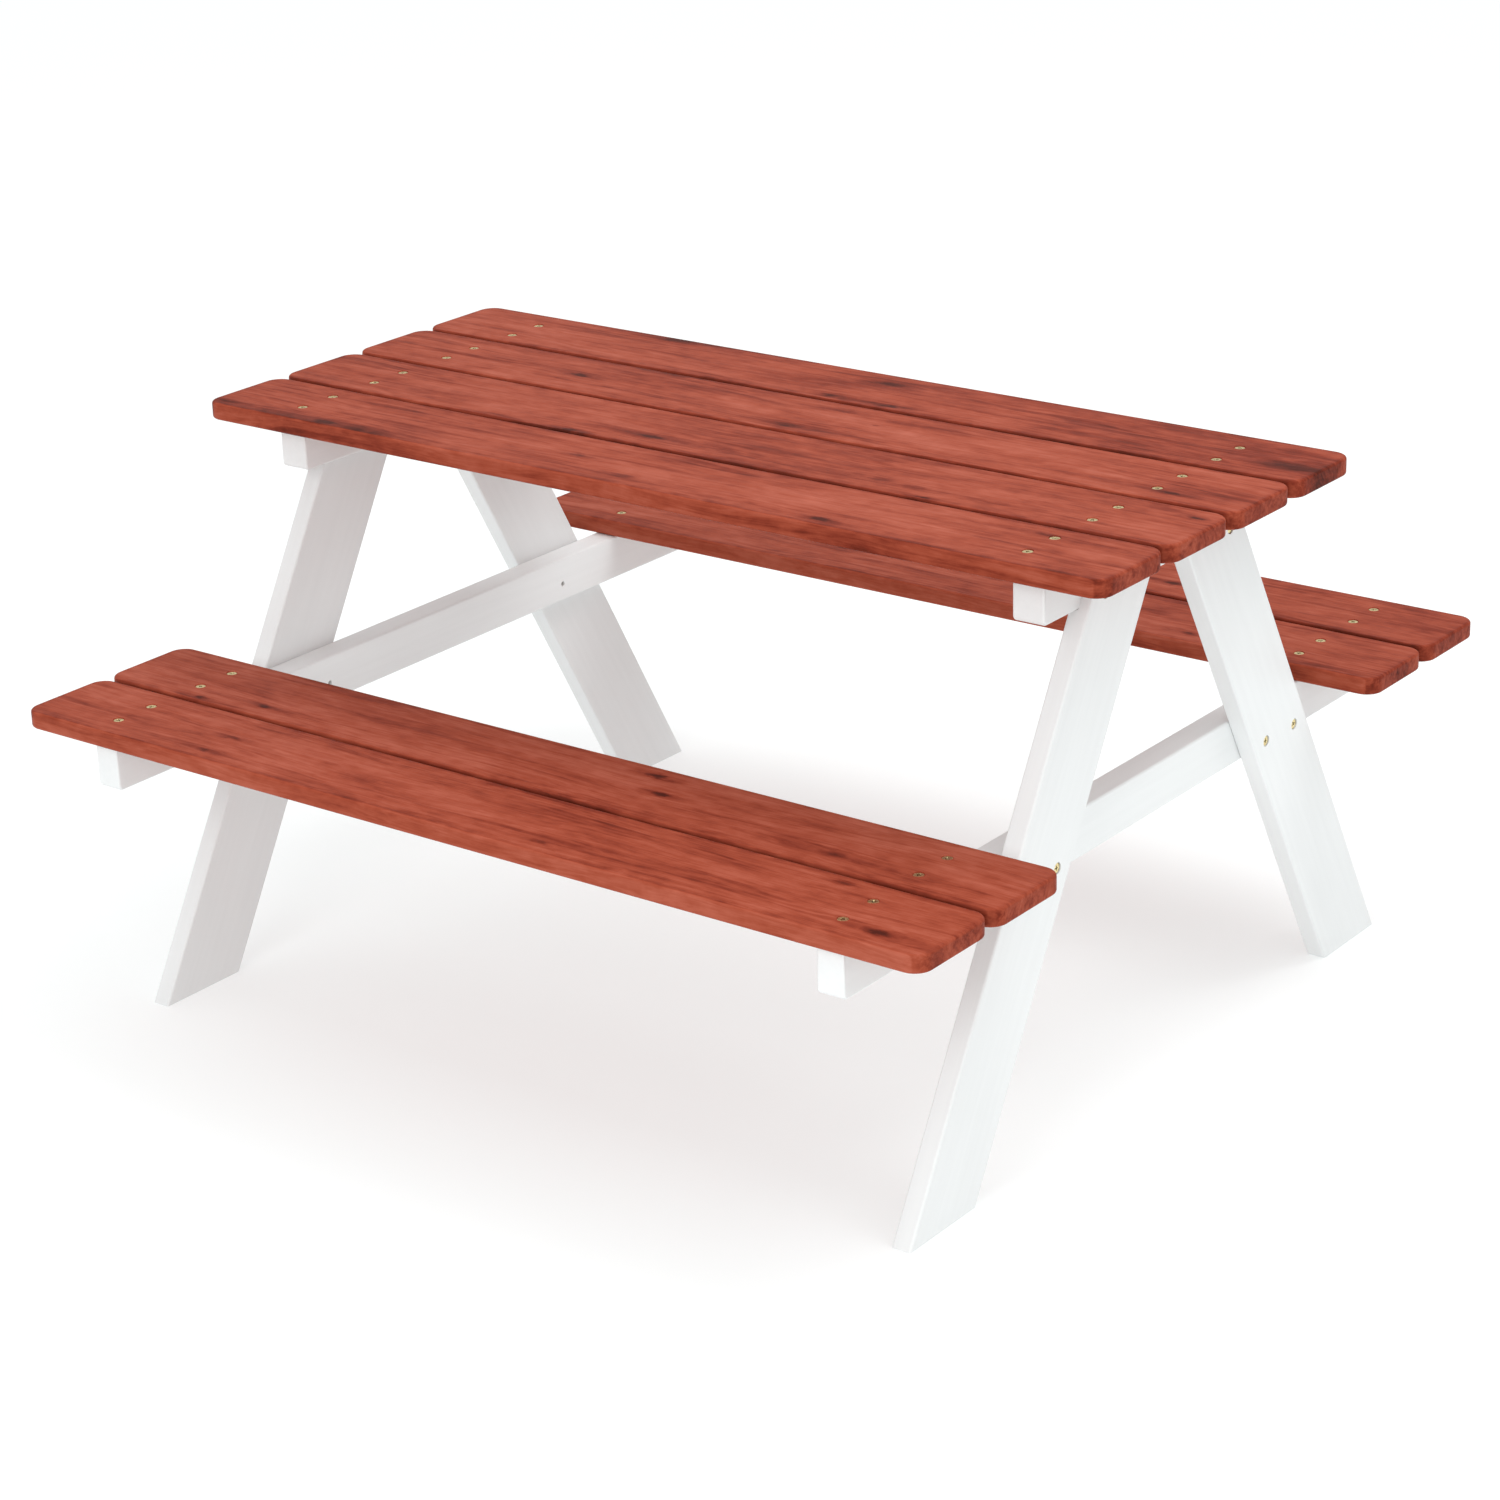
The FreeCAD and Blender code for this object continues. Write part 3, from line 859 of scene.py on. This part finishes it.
@dataclass
class EndFrame:
    """One A-frame: two leaning legs, the cleat under the tabletop and the seat beam."""

    side: Side
    screws: Screws
    foot_offset: float = 313 * MM
    top_offset: float = 52 * MM
    leg_width: float = 76 * MM
    leg_screw_spacing: float = 46 * MM
    cleat_screw_rise: float = 8 * MM
    beam_screw_rise: float = 16 * MM
    plank_pilot_depth: float = 23 * MM
    pilot_rest: float = 2 * MM                  # wood left past a hole that stops short
    edge_radius: float = 2 * MM
    end_radius: float = 4 * MM
    foot_radius: float = 1 * MM
    edge_segments: int = 4

    def node(self, part: str) -> str:
        """Return the name of one of this frame's CAD nodes."""
        return f"{self.side.name.lower()}_{part}"

    def lean(self) -> float:
        """Return how far the legs lean from upright."""
        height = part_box(self.node("rear_leg"))[1].z
        return math.atan2(self.foot_offset - self.top_offset, height)

    def screw_heights(self) -> dict[str, float]:
        """Return the heights of the two pairs of screws through each leg."""
        return {"beam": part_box(self.node("seat_beam"))[0].z + self.beam_screw_rise,
                "cleat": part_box(self.node("cleat"))[0].z + self.cleat_screw_rise}

    def across_leg(self, height: float) -> list[float]:
        """Return the Y places of the two screws across a rear leg at a height."""
        middle = self.foot_offset - height * math.tan(self.lean())
        return [middle - self.leg_screw_spacing / 2, middle + self.leg_screw_spacing / 2]

    def inward(self, y: float, height: float, sink: float = 0.0) -> Matrix:
        """Return the place of something that goes into a right-hand leg from its outer face.

        Args:
            y: its place along Y.
            height: its height.
            sink: how far below the face it starts.

        Returns:
            The matrix that turns a thing that points down Z and puts it there.
        """
        outer = max(abs(corner.x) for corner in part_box(self.node("rear_leg")))
        return Matrix.Translation((outer - sink, y, height)) @ Matrix.Rotation(math.pi / 2, 4, "Y")

    def settled(self, shape: bmesh.types.BMesh, bank: Bank) -> bmesh.types.BMesh:
        """Mirror a shape made for the right rear corner to its own corner.

        Args:
            shape: the shape, which is changed in place.
            bank: the side of the table that it goes to.

        Returns:
            The same shape.
        """
        bmesh.ops.transform(shape, matrix=Matrix.Diagonal((self.side.value, bank.value, 1.0, 1.0)),
                            verts=shape.verts)
        if self.side.value * bank.value < 0:
            bmesh.ops.reverse_faces(shape, faces=shape.faces)
        return shape

    def add(self, part: str, blank: bmesh.types.BMesh, tools: Sequence[bpy.types.Mesh], bank: Bank,
            paint: bpy.types.Material) -> bpy.types.Object:
        """Cut a right-hand blank, mirror it to its corner and make it a piece.

        Args:
            part: the part's name, without its side of the table.
            blank: the uncut shape, which is freed.
            tools: what is cut out of it, which are removed after use.
            bank: the side of the table that it goes to.
            paint: its finish.

        Returns:
            The piece.
        """
        name = "painted_" + self.node(part)
        mesh = cut(blank, tools, name)
        shape = bmesh.new()
        shape.from_mesh(mesh)
        self.settled(shape, bank).to_mesh(mesh)
        shape.free()
        return add_piece(name, mesh, paint, self.node(part))

    def crosspiece(self, part: str, screw_height: float, planks: Iterable[float],
                   paint: bpy.types.Material) -> bpy.types.Object:
        """Build the cleat or the seat beam.

        Args:
            part: "cleat" or "seat_beam".
            screw_height: height of the screws that come through the legs.
            planks: Y places of the screws that come down through the planks.
            paint: its finish.

        Returns:
            The piece.
        """
        low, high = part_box(self.node(part))
        inner, outer = sorted((abs(low.x), abs(high.x)))
        bar = block((inner, low.y, low.z), (outer, high.y, high.z))
        lower_ends = [edge for edge in edges_where(bar, 0, along=True)
                      if edge.verts[0].co.z < (low.z + high.z) / 2]
        round_edges(bar, lower_ends, self.end_radius, self.edge_segments)
        sides = edges_where(bar, 0, inner) + edges_where(bar, 0, outer)
        round_edges(bar, sides, self.edge_radius, self.edge_segments)
        down = [Matrix.Translation((PlankSet.screw_x, y, high.z)) for y in planks]
        through = max(abs(c.x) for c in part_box(self.node("rear_leg"))) - inner + OVERRUN
        tools = [place_copies(self.screws.drill(self.plank_pilot_depth), down, part + "_pilots")]
        # The pilot holes nearer the table's middle go right through. The others stop short.
        for y, depth in zip(self.across_leg(screw_height), (through, through - OVERRUN - self.pilot_rest)):
            into = [self.inward(bank.value * y, screw_height) for bank in Bank]
            tools.append(place_copies(self.screws.drill(depth), into, part + "_bores"))
        return self.add(part, bar, tools, Bank.REAR, paint)

    def leg(self, bank: Bank, paint: bpy.types.Material) -> bpy.types.Object:
        """Build one leg: a leaning board, cut level at both ends and housed for the cleat.

        Args:
            bank: the side of the table that it stands on.
            paint: its finish.

        Returns:
            The piece.
        """
        part = f"{bank.name.lower()}_leg"
        low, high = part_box(self.node(part))
        inner, outer = sorted((abs(low.x), abs(high.x)))
        half_span = self.leg_width / 2 / math.cos(self.lean())
        board = block((inner, -half_span, 0.0), (outer, half_span, high.z))
        slant = Matrix.Identity(4)
        slant[1][2], slant[1][3] = -math.tan(self.lean()), self.foot_offset
        bmesh.ops.transform(board, matrix=slant, verts=board.verts)
        grain = [edge for edge in board.edges
                 if abs(edge.verts[0].co.z - edge.verts[1].co.z) > high.z / 2]
        round_edges(board, grain, self.edge_radius, self.edge_segments)
        round_edges(board, edges_where(board, 2, 0.0), self.foot_radius, 2)

        cleat_low, cleat_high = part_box(self.node("cleat"))
        housed = max(abs(cleat_low.x), abs(cleat_high.x))
        housing = bpy.data.meshes.new(part + "_housing")
        socket = block((inner - OVERRUN, cleat_low.y, cleat_low.z),
                       (housed, cleat_high.y, high.z + OVERRUN))
        socket.to_mesh(housing)
        socket.free()
        drill = self.screws.drill(outer - inner + OVERRUN, self.screws.counterbore())
        bores = [self.inward(y, height) for height in self.screw_heights().values()
                 for y in self.across_leg(height)]
        return self.add(part, board, [housing, place_copies(drill, bores, part + "_bores")], bank, paint)

    def leg_screws(self, bank: Bank, plating: bpy.types.Material) -> None:
        """Build the two pairs of screws through one leg.

        Args:
            bank: the side of the table that the leg stands on.
            plating: their finish.
        """
        mirror = Matrix.Diagonal((self.side.value, bank.value, 1.0, 1.0))
        for joint, height in self.screw_heights().items():
            node = self.node(f"{bank.name.lower()}_{joint}_screws")
            low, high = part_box(node)
            places = []
            for y in self.across_leg(height):
                place = self.inward(y, height, self.screws.leg_head_sink)
                spot = mirror @ place.translation
                turn = Matrix.Rotation(self.side.value * math.pi / 2, 4, "Y")
                places.append(Matrix.Translation(spot) @ turn)
            self.screws.build(node, high.x - low.x, False, places, plating)


# ---- studio ----

@dataclass
class Studio:
    """The floor, the light and the camera."""

    target: Point = (-0.01316, -0.00484, 0.19563)
    azimuth: float = 37.369             # degrees, as are the next two
    elevation: float = 21.241
    roll: float = -1.582
    distance: float = 3.1457
    sensor: float = 36.0                # mm, as is the lens
    lens: float = 89.461
    clip_end: float = 200.0
    floor_half: float = 30.0
    wall_glow: float = 0.55
    ceiling_glow: float = 1.1
    aim: Point = (0.0, 0.0, 0.3)        # where the softboxes face

    def camera(self) -> None:
        """Set up the camera: azimuth 0 looks along +Y and 90 along -X."""
        azimuth, elevation, roll = (math.radians(a) for a in (self.azimuth, self.elevation, self.roll))
        back = Vector((math.sin(azimuth) * math.cos(elevation), -math.cos(azimuth) * math.cos(elevation),
                       math.sin(elevation)))
        right = (-back).cross(Vector((0, 0, 1))).normalized()
        up = right.cross(-back)
        across = math.cos(roll) * right + math.sin(roll) * up
        upright = math.cos(roll) * up - math.sin(roll) * right
        data = bpy.data.cameras.new("camera")
        data.sensor_width, data.lens, data.clip_end = self.sensor, self.lens, self.clip_end
        camera = bpy.data.objects.new("camera", data)
        bpy.context.scene.collection.objects.link(camera)
        turn = Matrix((across, upright, back)).transposed().to_4x4()
        camera.matrix_world = Matrix.Translation(Vector(self.target) + back * self.distance) @ turn
        bpy.context.scene.camera = camera

    def floor(self) -> None:
        """Lay the plain floor."""
        sheet = bmesh.new()
        bmesh.ops.create_grid(sheet, x_segments=1, y_segments=1, size=self.floor_half)
        mesh = bpy.data.meshes.new("floor")
        sheet.to_mesh(mesh)
        sheet.free()
        mesh.materials.append(LitAcrylic().make())
        floor = bpy.data.objects.new("floor", mesh)
        bpy.context.scene.collection.objects.link(floor)

    def lamp(self, name: str, spot: Point, width: float, watts: float) -> None:
        """Hang one softbox that faces the table.

        Args:
            name: its name.
            spot: where it hangs.
            width: width of its square face.
            watts: its power.
        """
        data = bpy.data.lights.new(name, "AREA")
        data.shape, data.size, data.energy = "SQUARE", width, watts
        lamp = bpy.data.objects.new(name, data)
        bpy.context.scene.collection.objects.link(lamp)
        away = Vector(spot) - Vector(self.aim)
        lamp.matrix_world = Matrix.Translation(spot) @ away.to_track_quat("Z", "Y").to_matrix().to_4x4()

    def light(self) -> None:
        """Set up the soft light: white surroundings and softboxes."""
        world = bpy.data.worlds.new("studio")
        world.use_nodes = True
        world.node_tree.nodes.clear()
        tree = world.node_tree
        heading = add_node(tree, "ShaderNodeTexCoord").outputs["Generated"]
        rise = add_node(tree, "ShaderNodeSeparateXYZ", {0: heading}).outputs["Z"]
        strength = add_node(tree, "ShaderNodeMapRange", {
            "Value": rise, "From Min": 0.1, "From Max": 0.9, "To Min": self.wall_glow,
            "To Max": self.ceiling_glow}, interpolation_type="SMOOTHSTEP").outputs[0]
        glow = add_node(tree, "ShaderNodeBackground", {
            "Color": linear("#FFFFFF"), "Strength": strength})
        add_node(tree, "ShaderNodeOutputWorld", {"Surface": glow.outputs[0]})
        bpy.context.scene.world = world
        self.lamp("overhead_softbox", (0.8, 0.8, 2.5), 1.4, 24.0)
        self.lamp("front_softbox", (0.5, -2.8, 1.5), 1.4, 26.0)
        self.lamp("right_softbox", (2.7, -0.5, 0.65), 1.2, 5.5)
        bpy.context.scene.view_settings.view_transform = "Standard"


# ---- the whole table ----

# Each plank's tree, the middle of that tree, its added depth of stain, its knots, and whether its -Y and
# its +Y edge face another plank. They fill the last fields of StainedPine in order.
WOOD = {
    "tabletop_plank_front_outer": (3, (90.0, -30.0), 0.03, (
        Knot(-72, 0, 3.0, 0.3, 4.0), Knot(-10, -25, 5.0, 0.28, 7.0), Knot(187, -33, 4.0, 0.35, 3.0),
        Knot(352, 25, 3.5, 0.25, 8.0), Knot(-313, -37, 4.5, 0.42, 20.0)), (False, True)),
    "tabletop_plank_front_inner": (7, (-80.0, -34.0), 0.0, (
        Knot(425, 25, 3.0, 0.45, 3.0), Knot(-55, -22, 5.0, 0.36, 14.0), Knot(170, -20, 5.0, 0.2, 14.0),
        Knot(222, -41, 3.0, 0.4, 4.0), Knot(-125, -41, 3.0, 0.4, 5.0)), (True, True)),
    "tabletop_plank_rear_inner": (12, (75.0, -45.0), -0.03, (
        Knot(-222, -2, 4.0, 0.4, 5.0), Knot(37, 26, 4.0, 0.22, 6.0), Knot(80, 6, 2.2, 0.35, 4.0),
        Knot(20, -30, 5.0, 0.25, 5.0), Knot(378, -25, 2.5, 0.55, 7.0)), (True, True)),
    "tabletop_plank_rear_outer": (21, (-95.0, -28.0), 0.03, (
        Knot(19, 19, 6.0, 0.3, 4.0), Knot(58, -36, 2.5, 0.6, 5.0), Knot(-4, -34, 4.0, 0.3, 5.0),
        Knot(-225, 38, 4.0, 0.25, 10.0), Knot(420, -12, 12.0, 0.3, 3.0)), (True, False)),
    # The front bench has less stain, partly as painted light: it brightens planks that the tabletop
    # shades.
    "front_bench_plank_inner": (31, (85.0, -36.0), -0.05, (
        Knot(84, 29, 4.0, 0.55, 4.0), Knot(110, 1, 3.5, 0.5, 5.0), Knot(-280, -25, 3.5, 0.4, 9.0),
        Knot(290, -23, 5.5, 0.28, 18.0), Knot(-342, -38, 3.0, 0.35, 5.0)), (True, False)),
    "front_bench_plank_outer": (44, (-70.0, -40.0), -0.06, (
        Knot(325, 32, 4.0, 0.3, 4.0), Knot(395, -25, 5.5, 0.5, 6.0), Knot(93, -29, 4.0, 0.3, 8.0),
        Knot(-254, 3, 3.0, 0.3, 6.0), Knot(-254, -29, 3.0, 0.3, 5.0)), (False, True)),
    "rear_bench_plank_inner": (52, (88.0, -32.0), 0.05, (
        Knot(-120, 8, 3.5, 0.4, 5.0), Knot(260, -26, 4.5, 0.3, 12.0)), (False, True)),
    "rear_bench_plank_outer": (63, (-76.0, -37.0), 0.05, (
        Knot(180, -14, 4.0, 0.45, 4.0), Knot(-300, 24, 4.5, 0.3, 10.0)), (True, False)),
}


def pine(node: str) -> StainedPine:
    """Describe the wood of one plank.

    Args:
        node: the plank's CAD node.

    Returns:
        The finish.
    """
    low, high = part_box(node)
    return StainedPine("red_stained_pine_" + node, tuple((low + high) / 2), high.x - low.x,
                       high.y - low.y, *WOOD[node])


def main() -> None:
    """Build the table and the studio."""
    logging.basicConfig(level=logging.INFO, format="%(message)s")
    studio = Studio()
    studio.camera()

    screws = Screws()
    plating = screws.plating.make()
    grains = {node: pine(node) for node in WOOD}
    tabletop = PlankSet(grains, screws, outer_screw_shift=5 * MM)
    bench = PlankSet(grains, screws)
    top_planks = [node for node in WOOD if node.startswith("tabletop")]
    bench_planks = {bank: [node for node in WOOD if node.startswith(bank.name.lower() + "_bench")]
                    for bank in Bank}
    for node in top_planks:
        tabletop.plank(node)
    for bank in Bank:
        for node in bench_planks[bank]:
            bench.plank(node)

    top_rows = [y for node in top_planks for y in tabletop.rows(node)]
    bench_rows = [y for bank in Bank for node in bench_planks[bank] for y in bench.rows(node)]
    lean = EndFrame(Side.RIGHT, screws).lean()
    level_paint = PaintedPine("white_painted_pine_level", math.pi / 2).make()
    leg_paint = {bank: PaintedPine(f"white_painted_pine_{bank.name.lower()}_leg",
                                   -bank.value * lean).make() for bank in Bank}
    for side in Side:
        end = EndFrame(side, screws)
        heights = end.screw_heights()
        end.crosspiece("cleat", heights["cleat"], top_rows, level_paint)
        end.crosspiece("seat_beam", heights["beam"], bench_rows, level_paint)
        tabletop.screw_row(end.node("tabletop_screws"), top_planks, side, plating)
        for bank in Bank:
            end.leg(bank, leg_paint[bank])
            end.leg_screws(bank, plating)
            bench.screw_row(end.node(f"{bank.name.lower()}_bench_screws"), bench_planks[bank], side,
                            plating)

    studio.floor()
    studio.light()


if __name__ == "__main__":
    main()
